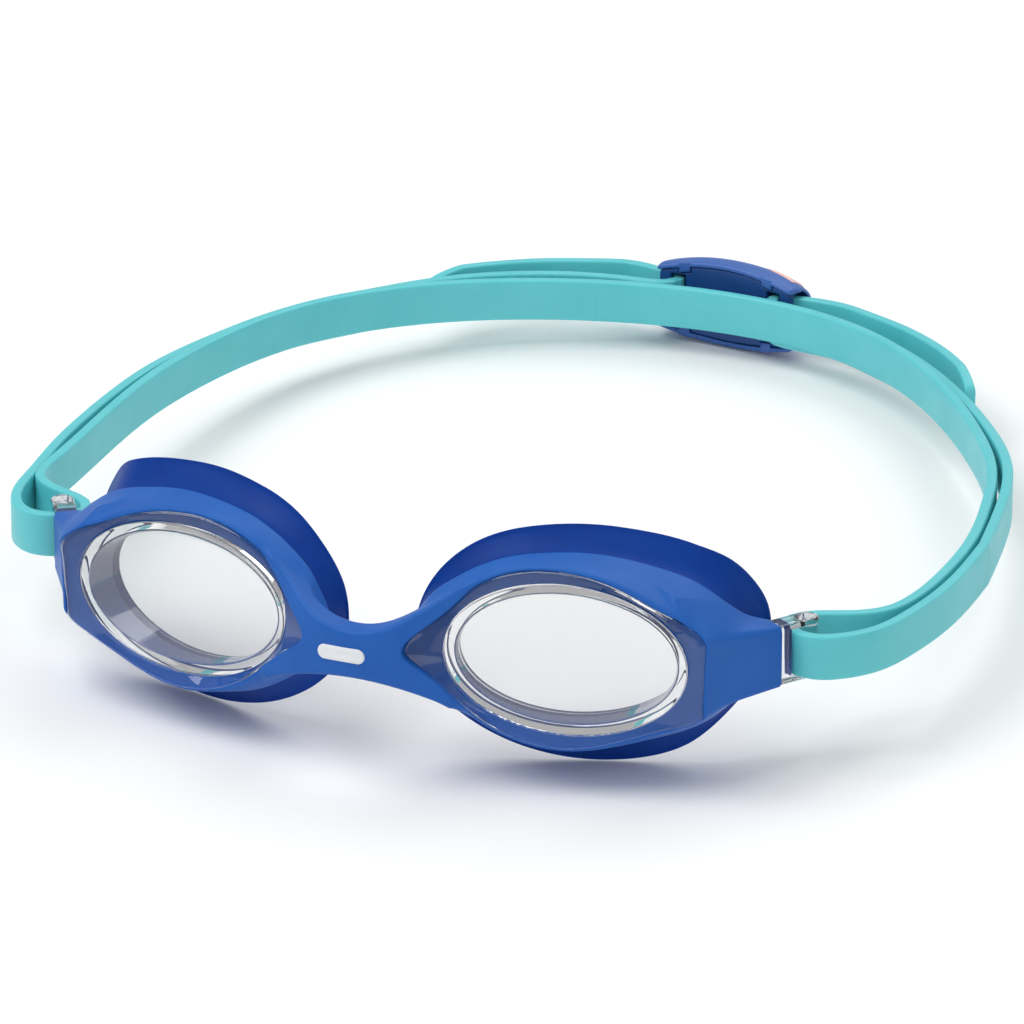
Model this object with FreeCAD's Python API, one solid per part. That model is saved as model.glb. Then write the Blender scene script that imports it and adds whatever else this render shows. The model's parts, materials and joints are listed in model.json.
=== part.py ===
"""Junior swim goggles: two clear cups in one soft frame, with a doubled strap and its rear clip.

Everything is modelled in the wearing frame: X towards the wearer's left, -Y ahead, Z up, with the
origin midway between the two windows. The finished pieces are then tipped back by REST_TILT, as the
goggles lie on a table on both seals and the clip, and moved so that the origin is at the centre of
the bounding box's bottom face.
"""
import FreeCAD, Part
import math
import os

V = FreeCAD.Vector

# ---- Windows and cups, in the window's own axes: u outward, d backward, v up ------------------
EYE_X = 35.1            # window centre from the middle plane
WRAP = 8.7              # each window is turned outward by this, degrees
PITCH = 3.5             # and its top leans back by this
WINDOW_A = 20.8         # half width of the flat oval window
WINDOW_B = 13.1         # half height
WINDOW_T = 1.8          # thickness of the window
WALL_T = 1.6            # thickness of the cup wall and of the bezel
CUP_DEPTH = 9.0         # cup wall behind the window, at its centre
CUP_SLOPE = 0.12        # the wall is this much deeper per mm towards the temple
FACE_FORM = 2.0         # the bezel wraps round by this more than the window does
BEZEL_D = -0.7          # front of the bezel at the window's centre line

# ---- Soft frame --------------------------------------------------------------------------------
FRAME_LIP = 0.6         # how far the frame stands outside the bezel's edge at the front
FRAME_D = 7.5           # back of the rim at the window's centre line
RIM_SLOPE = 8.0 / 60.0  # the rim and the seal are this much deeper per mm towards the temple
SEAL_D = 13.5           # lip of the seal at the window's centre line
SEAL_T = 2.2            # thickness of the seal's lip

# ---- Nose bridge --------------------------------------------------------------------------------
BRIDGE_Y = -9.0         # front of the bridge in the middle
BRIDGE_T = 5.0          # depth of the bridge, front to back
BRIDGE_TOP = 3.2        # its top and bottom edges in the middle
BRIDGE_LOW = -5.4
BRIDGE_HALF = 17.0      # half its length, into the two rims
MARK_L, MARK_H, MARK_T = 8.6, 2.6, 0.35
MARK_X = -1.4           # the mark sits a little to the wearer's right

# ---- Temple arms and lugs ------------------------------------------------------------------------
ARM_END = (67.0, 17.8)  # outer corner where the soft arm ends
ARM_ROOT = (58.9, 5.3)  # outer corner where it leaves the bezel
ARM_T = 4.8             # thickness of the arm
ARM_TOP, ARM_LOW = 4.5, -6.5
ARM_GROW = (1.2, 6.0)   # each edge of its root stands this much further out, outer and inner face
ARM_ROOT_T = 7.8        # thickness at its root
CORE_T = 2.2            # clear core inside the arm
LUG_WALL = 2.3          # clear wall between the arm's end and the slot
LUG_SLOT = 2.6          # slot that the strap passes through
LUG_LEN = 8.6           # length of the lug beyond the arm
POST_R = 1.8            # round post that the strap folds round
BAR_T = 1.2             # top and bottom bar of the lug

# ---- Strap ----------------------------------------------------------------------------------------
STRAP_Z = -1.1          # middle of the strap
STRAP_W = 7.8           # width of the strap
STRAP_T = 1.9           # thickness of the strap
FOLD_X = 76.0           # the fold at each lug is cut off here from the legs that swing
FOLD_GAP = 0.3
TAIL_TAPER = 7.0        # length of a tail's tapered end

# ---- Clip, in its own axes: a along the strap, n outward from the head ------------------------------
CLIP_MID = (-3.7, 170.4)
CLIP_DROP = 0.7         # its middle hangs this much below the strap's
CLIP_TURN = -7.9        # the clip is turned by this about Z, degrees
CLIP_R = 75.0           # radius of its inner face
CLIP_HALF = 13.6        # half its length
CLIP_H = 15.4           # its height in the middle
CLIP_END_H = 11.5       # its height at the ends
CLIP_DEPTH = 8.4        # from the inner face to the outer face, in the middle of the dome
CLIP_RIM = 3.8          # depth of its top and bottom edges
CLIP_SKIN = 1.0         # wall of the cover
CLIP_LIP = 0.6          # the cover is this much longer than the insert at each end
CLIP_FIT = 0.1          # air between the insert and the cover
INSERT_T = 2.0          # thickness of the insert plate
SLOT_A = 10.0           # middle of each strap slot, from the clip's middle
SLOT_W = 3.0
SLOT_H = 9.4
TURN_R = 1.45           # radius of the strap's turn round the end bar
TURN_N = 3.1            # middle of the strap where it leaves the clip
INLAY_L, INLAY_H, INLAY_T = 23.0, 6.4, 0.4
INLAY_SLANT = 0.24      # the inlay's stripe rises by this per mm towards the wearer's left

CLIP_CENTRE_N = -math.sqrt(CLIP_R ** 2 - CLIP_HALF ** 2)    # centre of the clip's arc

# ---- Lying on a table ---------------------------------------------------------------------------------
REST_TILT = 4.56        # the windows' tops lean back by this


def unit(a, b):
    """Unit vector from plan point a to plan point b."""
    length = math.hypot(b[0] - a[0], b[1] - a[1])
    return ((b[0] - a[0]) / length, (b[1] - a[1]) / length)


ARM_DIR = unit(ARM_ROOT, ARM_END)
ARM_IN = (-ARM_DIR[1], ARM_DIR[0])


def arm_point(along, inward):
    """Plan point at a distance beyond the arm's end and inward from its outer face."""
    return (ARM_END[0] + ARM_DIR[0] * along + ARM_IN[0] * inward,
            ARM_END[1] + ARM_DIR[1] * along + ARM_IN[1] * inward)


# ---- Helpers ---------------------------------------------------------------------------------------
def wire_through(points, closed):
    """A smooth wire through the points."""
    curve = Part.BSplineCurve()
    curve.interpolate(Points=points, PeriodicFlag=closed)
    return Part.Wire([curve.toShape()])


def polygon_face(points):
    """A flat face with straight edges."""
    return Part.Face(Part.makePolygon(points + [points[0]]))


def slab(plan, low, high):
    """A vertical prism over a plan outline of straight edges."""
    face = polygon_face([V(x, y, low) for x, y in plan])
    return face.extrude(V(0, 0, high - low))


def oval_prism(half_u, half_v, front, back):
    """An oval cylinder along the depth of the window."""
    ellipse = Part.Ellipse(V(0, front, 0), half_u, half_v)
    ellipse.Axis = V(0, -1, 0)
    ellipse.XAxis = V(1, 0, 0)
    face = Part.Face(Part.Wire([ellipse.toShape()]))
    return face.extrude(V(0, back - front, 0))


def outline_wire(outline, inset, depth, slope):
    """A closed smooth wire of (u, v) points, shrunk by inset, on a plane that deepens outward."""
    points = []
    for u, v in outline:
        reach = math.hypot(u, v)
        scale = (reach - inset) / reach
        points.append(V(u * scale, depth + slope * u * scale, v * scale))
    return wire_through(points, True)


def behind(depth, slope):
    """A large block behind the plane d = depth + slope * u."""
    big = 60.0
    plan = [(-big, depth - slope * big), (big, depth + slope * big), (big, big + 20), (-big, big + 20)]
    return slab(plan, -big, big)


def place_window(shape):
    """Moves a piece from the left window's own axes to the wearing frame."""
    placed = shape.copy()
    placed.rotate(V(0, 0, 0), V(1, 0, 0), -PITCH)
    placed.rotate(V(0, 0, 0), V(0, 0, 1), WRAP)
    placed.translate(V(EYE_X, 0, 0))
    return placed


def place_clip(shape):
    """Moves a piece from the clip's own axes to the wearing frame."""
    placed = shape.copy()
    placed.rotate(V(0, 0, 0), V(0, 0, 1), CLIP_TURN)
    placed.translate(V(CLIP_MID[0], CLIP_MID[1], STRAP_Z - CLIP_DROP))
    return placed


def other_side(shape):
    """The same piece on the wearer's right."""
    return shape.mirror(V(0, 0, 0), V(1, 0, 0))


def ribbon(points, thickness=STRAP_T, width=STRAP_W):
    """A band of the strap: a smooth plan route through the points, given its thickness and width."""
    route = Part.BSplineCurve()
    route.interpolate(Points=[V(x, y, STRAP_Z - width / 2) for x, y in points])
    first, last = route.FirstParameter, route.LastParameter
    count = 6 * len(points)
    sides = ([], [])
    for i in range(count + 1):
        at = first + (last - first) * i / count
        here = route.value(at)
        along = route.tangent(at)[0]
        across = V(-along.y, along.x, 0) * (thickness / 2)
        sides[0].append(here + across)
        sides[1].append(here - across)
    edges = []
    for side in sides:
        curve = Part.BSplineCurve()
        curve.interpolate(Points=side)
        edges.append(curve.toShape())
    start = Part.makeLine(sides[0][0], sides[1][0])
    end = Part.makeLine(sides[0][-1], sides[1][-1])
    wire = Part.Wire(Part.__sortEdges__([edges[0], end, edges[1], start]))
    return Part.Face(wire).extrude(V(0, 0, width))


# ---- Outlines of the cup, in the window's axes (u, v), anticlockwise from the beak at the nose ------
BEZEL_OUTLINE = [(-26.8, -0.4), (-24.6, -2.4), (-20.6, -5.4), (-15.6, -9.9), (-8.0, -14.0),
                 (1.0, -15.2), (10.0, -13.1), (18.0, -10.4), (22.4, -8.9), (23.3, -8.1),
                 (23.5, -6.8), (23.7, -1.5), (23.9, 3.8), (23.9, 5.2), (23.1, 6.4), (17.0, 9.9),
                 (9.0, 13.4), (1.0, 15.2), (-8.0, 14.7), (-16.0, 10.9), (-21.4, 5.8)]
RIM_OUTLINE = [(-28.5, -1.0), (-25.5, -6.5), (-20.0, -11.0), (-13.0, -15.0), (-4.0, -17.3),
               (5.0, -17.4), (14.0, -15.2), (22.5, -11.6), (27.2, -6.0), (27.6, 4.0),
               (22.6, 11.2), (13.0, 15.2), (4.0, 16.8), (-5.0, 16.6), (-13.5, 14.9),
               (-20.5, 11.0), (-26.0, 6.0)]
SEAL_OUTLINE = [(-28.0, -0.5), (-26.0, -8.2), (-20.0, -14.6), (-11.5, -19.2), (-2.0, -21.4),
                (8.0, -21.2), (17.5, -18.2), (25.0, -11.4), (29.3, -4.5), (30.3, 1.5),
                (29.6, 6.0), (27.3, 10.3), (23.5, 14.6), (17.5, 17.6), (10.0, 19.2),
                (1.5, 20.0), (-8.5, 19.5), (-16.8, 16.8), (-24.6, 9.8)]


# ---- Cups -------------------------------------------------------------------------------------------
def bezel_plate(inset, front, back):
    """The plate round the window, wrapped round by FACE_FORM."""
    slope = math.tan(math.radians(FACE_FORM))
    face = Part.Face(outline_wire(BEZEL_OUTLINE, inset, BEZEL_D + front, slope))
    return face.extrude(V(0, back - front, 0))


def lug():
    """The clear lug behind the arm: wall, slot, round post, top bar and bottom bar."""
    half = (ARM_T - 0.8) / 2
    middle = ARM_T / 2
    plan = [arm_point(-0.2, middle - half), arm_point(LUG_LEN - half, middle - half),
            arm_point(LUG_LEN - half, middle + half), arm_point(-0.2, middle + half)]
    body = slab(plan, ARM_LOW + 0.1, ARM_TOP - 0.1)
    tip_x, tip_y = arm_point(LUG_LEN - half, middle)
    height = ARM_TOP - ARM_LOW - 0.2
    body = body.fuse(Part.makeCylinder(half, height, V(tip_x, tip_y, ARM_LOW + 0.1)))
    slot_plan = [arm_point(LUG_WALL, -3), arm_point(LUG_LEN + 5, -3),
                 arm_point(LUG_LEN + 5, ARM_T + 3), arm_point(LUG_WALL, ARM_T + 3)]
    body = body.cut(slab(slot_plan, ARM_LOW + BAR_T, ARM_TOP - BAR_T))
    post_x, post_y = arm_point(LUG_WALL + LUG_SLOT + POST_R, middle)
    post = Part.makeCylinder(POST_R, height - BAR_T, V(post_x, post_y, ARM_LOW + BAR_T / 2))
    return body.fuse(post).removeSplitter()


def arm_core():
    """The clear strip that carries the strap's pull through the soft arm to the lug."""
    outer = (ARM_T - CORE_T) / 2
    inner = outer + CORE_T
    length = math.hypot(ARM_END[0] - ARM_ROOT[0], ARM_END[1] - ARM_ROOT[1])
    plan = [arm_point(-length - 1.5, outer), arm_point(0.5, outer),
            arm_point(0.5, inner), arm_point(-length - 1.5, inner)]
    return slab(plan, ARM_LOW + 1.5, ARM_TOP - 1.5)


def make_lens():
    """One clear cup: flat window, oval wall, bezel, arm core and lug in one moulding."""
    slope = math.tan(math.radians(FACE_FORM))
    outer = oval_prism(WINDOW_A, WINDOW_B, -6.0, 16.0)
    inner = oval_prism(WINDOW_A - WALL_T, WINDOW_B - WALL_T, -7.0, 17.0)
    tube = outer.cut(inner)
    tube = tube.common(behind(0.0, 0.0).fuse(behind(BEZEL_D, slope)))
    tube = tube.cut(behind(CUP_DEPTH, CUP_SLOPE))
    window = oval_prism(WINDOW_A - 0.1, WINDOW_B - 0.1, 0.0, WINDOW_T)
    bezel = bezel_plate(0.0, 0.0, WALL_T).cut(oval_prism(WINDOW_A - 0.1, WINDOW_B - 0.1, -6.0, 16.0))
    cup = tube.fuse([window, bezel])
    lens = place_window(cup).fuse([arm_core(), lug()])
    return lens.removeSplitter()


# ---- Soft frame ----------------------------------------------------------------------------------------
def make_rim():
    """One rim, from the lip round the bezel back to the seal, still without its openings."""
    slope = math.tan(math.radians(FACE_FORM))
    front = outline_wire(BEZEL_OUTLINE, -FRAME_LIP, BEZEL_D - 0.2, slope)
    back = outline_wire(RIM_OUTLINE, 0.0, FRAME_D, RIM_SLOPE)
    return place_window(Part.makeLoft([front, back], True, True))


def make_arm():
    """One soft arm, tapering from the rim to its end, still without the core's pocket."""
    root = math.hypot(ARM_END[0] - ARM_ROOT[0], ARM_END[1] - ARM_ROOT[1])
    sections = []
    for along, outer, inner, thick in ((-root, *ARM_GROW, ARM_ROOT_T), (0.0, 0.0, 0.0, ARM_T)):
        corners = [(arm_point(along, 0), ARM_LOW - outer), (arm_point(along, thick), ARM_LOW - inner),
                   (arm_point(along, thick), ARM_TOP + inner), (arm_point(along, 0), ARM_TOP + outer)]
        points = [V(plan[0], plan[1], z) for plan, z in corners]
        sections.append(Part.makePolygon(points + [points[0]]))
    return Part.makeLoft(sections, True, True)


def bridge_plan(forward):
    """Plan region of the bridge, with its front moved forward by the given amount."""
    low, high = -30.0, 30.0
    ends = [(-BRIDGE_HALF, BRIDGE_Y + 3.4), (0.0, BRIDGE_Y), (BRIDGE_HALF, BRIDGE_Y + 3.4)]
    front = Part.Arc(*[V(x, y - forward, low) for x, y in ends]).toShape()
    back = Part.Arc(*[V(x, y + BRIDGE_T, low) for x, y in ends]).toShape()
    sides = [Part.makeLine(V(x, ends[0][1] - forward, low), V(x, ends[0][1] + BRIDGE_T, low))
             for x in (-BRIDGE_HALF, BRIDGE_HALF)]
    wire = Part.Wire(Part.__sortEdges__([front, sides[1], back, sides[0]]))
    return Part.Face(wire).extrude(V(0, 0, high - low))


def make_bridge():
    """The nose bridge: a saddle that widens towards the two rims."""
    top = [(-BRIDGE_HALF, 10.5), (-9.0, 5.6), (0.0, BRIDGE_TOP), (9.0, 5.6), (BRIDGE_HALF, 10.5)]
    low = [(-BRIDGE_HALF, -9.5), (-9.0, -6.6), (0.0, BRIDGE_LOW), (9.0, -6.6), (BRIDGE_HALF, -9.5)]
    y = -20.0
    edges = []
    for profile in (top, low):
        curve = Part.BSplineCurve()
        curve.interpolate(Points=[V(x, y, z) for x, z in profile])
        edges.append(curve.toShape())
    ends = [Part.makeLine(V(x, y, top[i][1]), V(x, y, low[i][1]))
            for x, i in ((-BRIDGE_HALF, 0), (BRIDGE_HALF, -1))]
    wire = Part.Wire(Part.__sortEdges__([edges[0], ends[1], edges[1], ends[0]]))
    front_view = Part.Face(wire).extrude(V(0, 40, 0))
    return front_view.common(bridge_plan(0.0))


def make_mark():
    """A plain rounded bar set on the front of the bridge."""
    half = MARK_L / 2 - MARK_H / 2
    middle = (BRIDGE_TOP + BRIDGE_LOW) / 2
    bar = Part.makeBox(2 * half, 40, MARK_H, V(MARK_X - half, -20, middle - MARK_H / 2))
    ends = [Part.makeCylinder(MARK_H / 2, 40, V(MARK_X + side * half, -20, middle), V(0, 1, 0))
            for side in (-1, 1)]
    shell = bridge_plan(MARK_T).cut(bridge_plan(0.0))
    return bar.fuse(ends).common(shell).removeSplitter()


def make_frame(lenses, seals):
    """The one-piece soft frame: both rims, the nose bridge and both arms, moulded round the cups."""
    rim = make_rim()
    arm = make_arm()
    opening = place_window(oval_prism(WINDOW_A, WINDOW_B, -20.0, 40.0))
    front = place_window(bezel_plate(0.0, -12.0, WALL_T))
    halves = [rim, arm]
    frame = make_bridge().fuse(halves + [other_side(half) for half in halves])
    for tool in (opening, front):
        frame = frame.cut([tool, other_side(tool)])
    frame = frame.cut(lenses + seals)
    solids = sorted(frame.Solids, key=lambda solid: solid.Volume)
    return solids[-1].removeSplitter()


def make_seal():
    """One soft seal: a skirt that flares from the rim back to the face."""
    outer = Part.makeLoft([outline_wire(RIM_OUTLINE, 1.0, FRAME_D, RIM_SLOPE),
                           outline_wire(SEAL_OUTLINE, 0.0, SEAL_D, RIM_SLOPE)], True, True)
    inner_lip = outline_wire(SEAL_OUTLINE, SEAL_T, SEAL_D + 0.01, RIM_SLOPE)
    inner_root = outline_wire(RIM_OUTLINE, SEAL_T + 1.0, FRAME_D - 0.01, RIM_SLOPE)
    seal = outer.cut(Part.makeLoft([inner_root, inner_lip], True, True))
    collar = outline_wire(RIM_OUTLINE, 1.0, FRAME_D, RIM_SLOPE)
    collar = Part.Face(collar).extrude(V(0, 1.6, 0))
    return collar.fuse(seal).cut(oval_prism(WINDOW_A, WINDOW_B, -20.0, 40.0)).removeSplitter()


# ---- Strap -------------------------------------------------------------------------------------
def fold_route():
    """Plan route of the fold at the left lug, from the outer leg through the slot to the inner leg."""
    slot = LUG_WALL + LUG_SLOT / 2
    return [(79.6, 27.2), (75.4, 22.3), (72.0, 20.6), arm_point(slot, 0.4), arm_point(slot, 2.6),
            arm_point(slot + 0.7, 5.2), (66.4, 28.6), (70.0, 30.9), (74.6, 33.0), (78.4, 36.4)]


# Plan routes of the strap, from the wearer's left round the back to the right. The inner band runs
# from fold to fold; each outer leg runs from its fold to the clip.
INNER_ROUTE = [(74.6, 33.0), (78.4, 36.4), (80.6, 42.5), (81.6, 55.0), (80.8, 71.0), (77.4, 88.5),
               (72.8, 103.8), (63.8, 120.6), (52.6, 136.6), (39.2, 151.2), (25.4, 160.8),
               (5.6, 166.8), (-6.6, 167.4), (-18.2, 166.1), (-43.0, 158.0), (-58.8, 147.4),
               (-71.6, 131.2), (-79.2, 108.0), (-81.6, 88.0), (-81.0, 65.0), (-80.0, 45.0),
               (-78.4, 36.4), (-74.6, 33.0)]
LEFT_LEG_ROUTE = [(75.4, 22.3), (79.6, 27.2), (82.4, 36.0), (84.1, 48.5), (83.6, 70.0),
                  (79.8, 89.6), (75.3, 105.0), (66.0, 122.0), (54.4, 138.2), (40.6, 153.0),
                  (26.2, 163.0), (19.4, 165.6)]
RIGHT_LEG_ROUTE = [(-75.4, 22.3), (-78.7, 27.3), (-80.9, 38.4), (-82.8, 52.0), (-84.0, 70.0),
                   (-84.0, 90.0), (-81.4, 109.4), (-73.6, 132.8), (-60.4, 149.3), (-44.0, 160.3),
                   (-28.0, 167.2), (-22.6, 168.9)]
LEFT_TAIL_ROUTE = [(20.0, 170.9), (24.6, 168.9), (33.4, 164.2), (44.8, 155.4), (51.4, 148.0),
                   (54.5, 143.5)]
RIGHT_TAIL_ROUTE = [(-25.4, 177.4), (-31.5, 175.4), (-38.8, 172.1), (-46.8, 166.8), (-53.6, 160.6),
                    (-56.8, 156.6)]


def beyond_fold(low, high):
    """A block of everything whose X lies between low and high."""
    return Part.makeBox(high - low, 400, 60, V(low, -100, -30))


def make_fold():
    """The strap's fold round the post of the left lug, which stays with the frame."""
    return ribbon(fold_route()).common(beyond_fold(0.0, FOLD_X - FOLD_GAP / 2))


def make_inner_band():
    """The inner band, from one fold round the back of the head to the other."""
    band = ribbon(INNER_ROUTE)
    near_left = Part.makeBox(FOLD_X + FOLD_GAP / 2, 60, 60, V(0, -20, -30))
    near_right = Part.makeBox(FOLD_X + FOLD_GAP / 2, 60, 60, V(-FOLD_X - FOLD_GAP / 2, -20, -30))
    return band.cut([near_left, near_right])


def make_leg(route, side):
    """One outer leg, from its fold to the clip."""
    reach = FOLD_X + FOLD_GAP / 2
    near = Part.makeBox(reach, 60, 60, V(0 if side > 0 else -reach, -20, -30))
    return ribbon(route).cut(near)


def make_tail(route):
    """One free tail beyond the clip, tapered in height at its end."""
    tail = ribbon(route)
    end, before = route[-1], route[-2]
    along = unit(before, end)
    angle = math.degrees(math.atan2(along[1], along[0]))
    for up in (1, -1):
        edge = up * STRAP_W / 2
        points = [V(-TAIL_TAPER, -6, edge), V(1.0, -6, edge * 0.3), V(1.0, -6, edge + 3 * up),
                  V(-TAIL_TAPER, -6, edge + 3 * up)]
        wedge = polygon_face(points).extrude(V(0, 12, 0))
        wedge.rotate(V(0, 0, 0), V(0, 0, 1), angle)
        wedge.translate(V(end[0], end[1], STRAP_Z))
        tail = tail.cut(wedge)
    return tail


# ---- Clip -------------------------------------------------------------------------------------
def clip_sweep(profile, half_length):
    """A closed profile of edges in the (n, z) plane, carried along the clip's arc."""
    centre = V(0, CLIP_CENTRE_N, 0)
    half_turn = math.degrees(half_length / CLIP_R)
    face = Part.Face(Part.Wire(Part.__sortEdges__(profile)))
    swept = face.revolve(centre, V(0, 0, 1), 2 * half_turn)
    swept.rotate(centre, V(0, 0, 1), -half_turn)
    return swept


def clip_slab(front, back, half_length, height):
    """A curved slab of the clip between two distances from its inner face."""
    half = height / 2
    corners = [V(0, front, -half), V(0, back, -half), V(0, back, half), V(0, front, half)]
    return clip_sweep([Part.makeLine(corners[i - 1], corners[i]) for i in range(4)], half_length)


def clip_dome(inset, front, half_length):
    """The clip's domed block, shrunk by inset on its outside."""
    half, rim, top = CLIP_H / 2 - inset, CLIP_RIM - inset, CLIP_DEPTH - inset
    shoulder_z, shoulder_rise = 0.62, 0.77
    shoulder_n = rim + shoulder_rise * (top - rim)
    crown = Part.BSplineCurve()
    crown.interpolate(Points=[V(0, rim, -half), V(0, shoulder_n, -shoulder_z * half), V(0, top, 0),
                              V(0, shoulder_n, shoulder_z * half), V(0, rim, half)])
    corners = [V(0, rim, half), V(0, front, half), V(0, front, -half), V(0, rim, -half)]
    lines = [Part.makeLine(corners[i], corners[i + 1]) for i in range(3)]
    return clip_sweep([crown.toShape()] + lines, half_length)


def boat(inset):
    """The clip's outline seen from outside, shrunk by inset: its height falls towards the ends."""
    reach = 1.2 * CLIP_HALF
    middle = CLIP_H / 2 - inset
    fall = (CLIP_H - CLIP_END_H) / 2 * (reach / CLIP_HALF) ** 2
    edges = []
    for up in (1, -1):
        curve = Part.BSplineCurve()
        curve.interpolate(Points=[V(share * reach, -20, up * (middle - fall * share ** 2))
                                  for share in (-1.0, -0.5, 0.0, 0.5, 1.0)])
        edges.append(curve.toShape())
    ends = [Part.makeLine(V(side * reach, -20, middle - fall), V(side * reach, -20, fall - middle))
            for side in (-1, 1)]
    return Part.Face(Part.Wire(Part.__sortEdges__(edges + ends))).extrude(V(0, 40, 0))


def make_clip_cover():
    """The clip's outer cover: a domed back with a top wall and a bottom wall, open at both ends."""
    block = clip_dome(0.0, 0.0, CLIP_HALF + CLIP_LIP).common(boat(0.0))
    hollow = clip_dome(CLIP_SKIN, -1.0, CLIP_HALF + 2.0).common(boat(CLIP_SKIN))
    return place_clip(block.cut(hollow))


def make_clip_insert():
    """The insert that snaps into the cover: a curved plate with two strap slots and its end bars."""
    plate = clip_slab(0.0, INSERT_T, CLIP_HALF, CLIP_H).common(boat(CLIP_SKIN + CLIP_FIT))
    for side in (-1, 1):
        slot = Part.makeBox(SLOT_W, 20, SLOT_H, V(side * SLOT_A - SLOT_W / 2, -8, -SLOT_H / 2))
        plate = plate.cut(slot)
    return place_clip(plate)


def make_clip_inlay(cover):
    """The coloured inlay set on the outer face of the cover: a stripe on the slant."""
    reach, half, rise = INLAY_L / 2, INLAY_H / 2, INLAY_SLANT * INLAY_L / 2
    stripe = polygon_face([V(-reach, 0, -rise - half), V(reach, 0, rise - half),
                           V(reach, 0, rise + half), V(-reach, 0, half - rise)])
    stripe = stripe.extrude(V(0, 20, 0))
    layer = clip_dome(-INLAY_T, CLIP_RIM, CLIP_HALF).cut(clip_dome(0.0, CLIP_RIM - 1.0, CLIP_HALF + 1.0))
    return place_clip(layer.common(stripe).common(boat(0.3))).cut(cover)


def make_turn(side):
    """The strap inside the clip: in through one slot, round the end bar and out towards the tail."""
    half = STRAP_T / 2
    corner_n = TURN_N - TURN_R
    bend_a = SLOT_A + TURN_R
    quarter = math.sqrt(0.5)
    walls = []
    for radius in (TURN_R + half, TURN_R - half):
        diagonal = V(bend_a - radius * quarter, corner_n + radius * quarter, 0)
        walls.append([V(bend_a - radius, corner_n, 0), diagonal, V(bend_a, corner_n + radius, 0)])
    edges = [Part.Arc(*walls[0]).toShape(), Part.Arc(*walls[1]).toShape()]
    start_n, end_a = -1.0, CLIP_HALF - 0.2
    points = [walls[0][2], V(end_a, walls[0][2].y, 0), V(end_a, walls[1][2].y, 0), walls[1][2]]
    edges += [Part.makeLine(points[i], points[i + 1]) for i in range(3)]
    points = [walls[1][0], V(walls[1][0].x, start_n, 0), V(walls[0][0].x, start_n, 0), walls[0][0]]
    edges += [Part.makeLine(points[i], points[i + 1]) for i in range(3)]
    face = Part.Face(Part.Wire(Part.__sortEdges__(edges)))
    turn = face.extrude(V(0, 0, STRAP_W))
    turn.translate(V(0, 0, CLIP_DROP - STRAP_W / 2))
    if side < 0:
        turn = other_side(turn)
    return place_clip(turn)


# ---- Assembly ---------------------------------------------------------------------------------
def make_nodes():
    """Every piece in the wearing frame, by node name."""
    lens = make_lens()
    lenses = [lens, other_side(lens)]
    seal = place_window(make_seal()).cut(lens)
    seals = [seal, other_side(seal)]
    fold = make_fold()
    cover = make_clip_cover()
    return {
        "lens_left": lenses[0],
        "lens_right": lenses[1],
        "frame": make_frame(lenses, seals),
        "seal_left": seals[0],
        "seal_right": seals[1],
        "bridge_mark": make_mark(),
        "strap_fold_left": fold,
        "strap_fold_right": other_side(fold),
        "strap_inner_band": make_inner_band(),
        "strap_leg_left": make_leg(LEFT_LEG_ROUTE, 1),
        "strap_leg_right": make_leg(RIGHT_LEG_ROUTE, -1),
        "strap_turn_left": make_turn(1),
        "strap_turn_right": make_turn(-1),
        "strap_tail_left": make_tail(LEFT_TAIL_ROUTE),
        "strap_tail_right": make_tail(RIGHT_TAIL_ROUTE),
        "clip_cover": cover,
        "clip_insert": make_clip_insert(),
        "clip_inlay": make_clip_inlay(cover),
    }


def rest_placement(shapes):
    """The placement that lays the goggles on the ground with the origin under their middle."""
    tilt = FreeCAD.Rotation(V(1, 0, 0), -REST_TILT)
    tipped = Part.makeCompound([shape.copy() for shape in shapes])
    tipped.Placement = FreeCAD.Placement(V(0, 0, 0), tilt)
    box = tipped.optimalBoundingBox(False, False)
    shift = V(-(box.XMin + box.XMax) / 2, -(box.YMin + box.YMax) / 2, -box.ZMin)
    return FreeCAD.Placement(shift, tilt)


def main():
    nodes = make_nodes()
    placement = rest_placement(nodes.values())
    os.makedirs("parts", exist_ok=True)
    for name, shape in nodes.items():
        shape.Placement = placement.multiply(shape.Placement)
        shape.exportStep("parts/%s.step" % name)
    return nodes, placement


if __name__ == "__main__":
    main()
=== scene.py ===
"""Looks of the junior swim goggles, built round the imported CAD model.

Every piece is made in millimetres in the wearing frame: X towards the wearer's left, -Y ahead, Z up,
with the origin midway between the two windows. to_row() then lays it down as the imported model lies.
"""
import json
import math

import bpy
import numpy as np
import openvdb
from mathutils import Matrix, Vector


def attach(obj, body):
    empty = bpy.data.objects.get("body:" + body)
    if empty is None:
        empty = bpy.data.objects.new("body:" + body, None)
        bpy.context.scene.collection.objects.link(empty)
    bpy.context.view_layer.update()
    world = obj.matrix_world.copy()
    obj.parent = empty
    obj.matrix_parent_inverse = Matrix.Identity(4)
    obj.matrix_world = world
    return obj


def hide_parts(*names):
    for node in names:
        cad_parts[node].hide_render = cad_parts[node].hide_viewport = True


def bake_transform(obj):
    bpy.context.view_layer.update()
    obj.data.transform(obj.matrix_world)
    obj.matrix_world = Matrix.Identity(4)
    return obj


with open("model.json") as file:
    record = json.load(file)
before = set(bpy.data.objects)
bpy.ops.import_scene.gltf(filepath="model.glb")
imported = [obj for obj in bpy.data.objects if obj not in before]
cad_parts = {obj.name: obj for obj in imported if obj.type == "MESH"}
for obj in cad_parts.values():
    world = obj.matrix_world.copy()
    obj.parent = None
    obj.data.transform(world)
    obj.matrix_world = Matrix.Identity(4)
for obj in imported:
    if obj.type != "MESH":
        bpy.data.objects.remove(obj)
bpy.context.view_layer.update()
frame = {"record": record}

# ---- Sizes shared with the CAD model, in mm and degrees -----------------------------------------
EYE_X, WRAP, PITCH = 35.1, 8.7, 3.5
WINDOW_A, WINDOW_B, WINDOW_T, WALL_T = 20.8, 13.1, 1.8, 1.6
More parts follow.
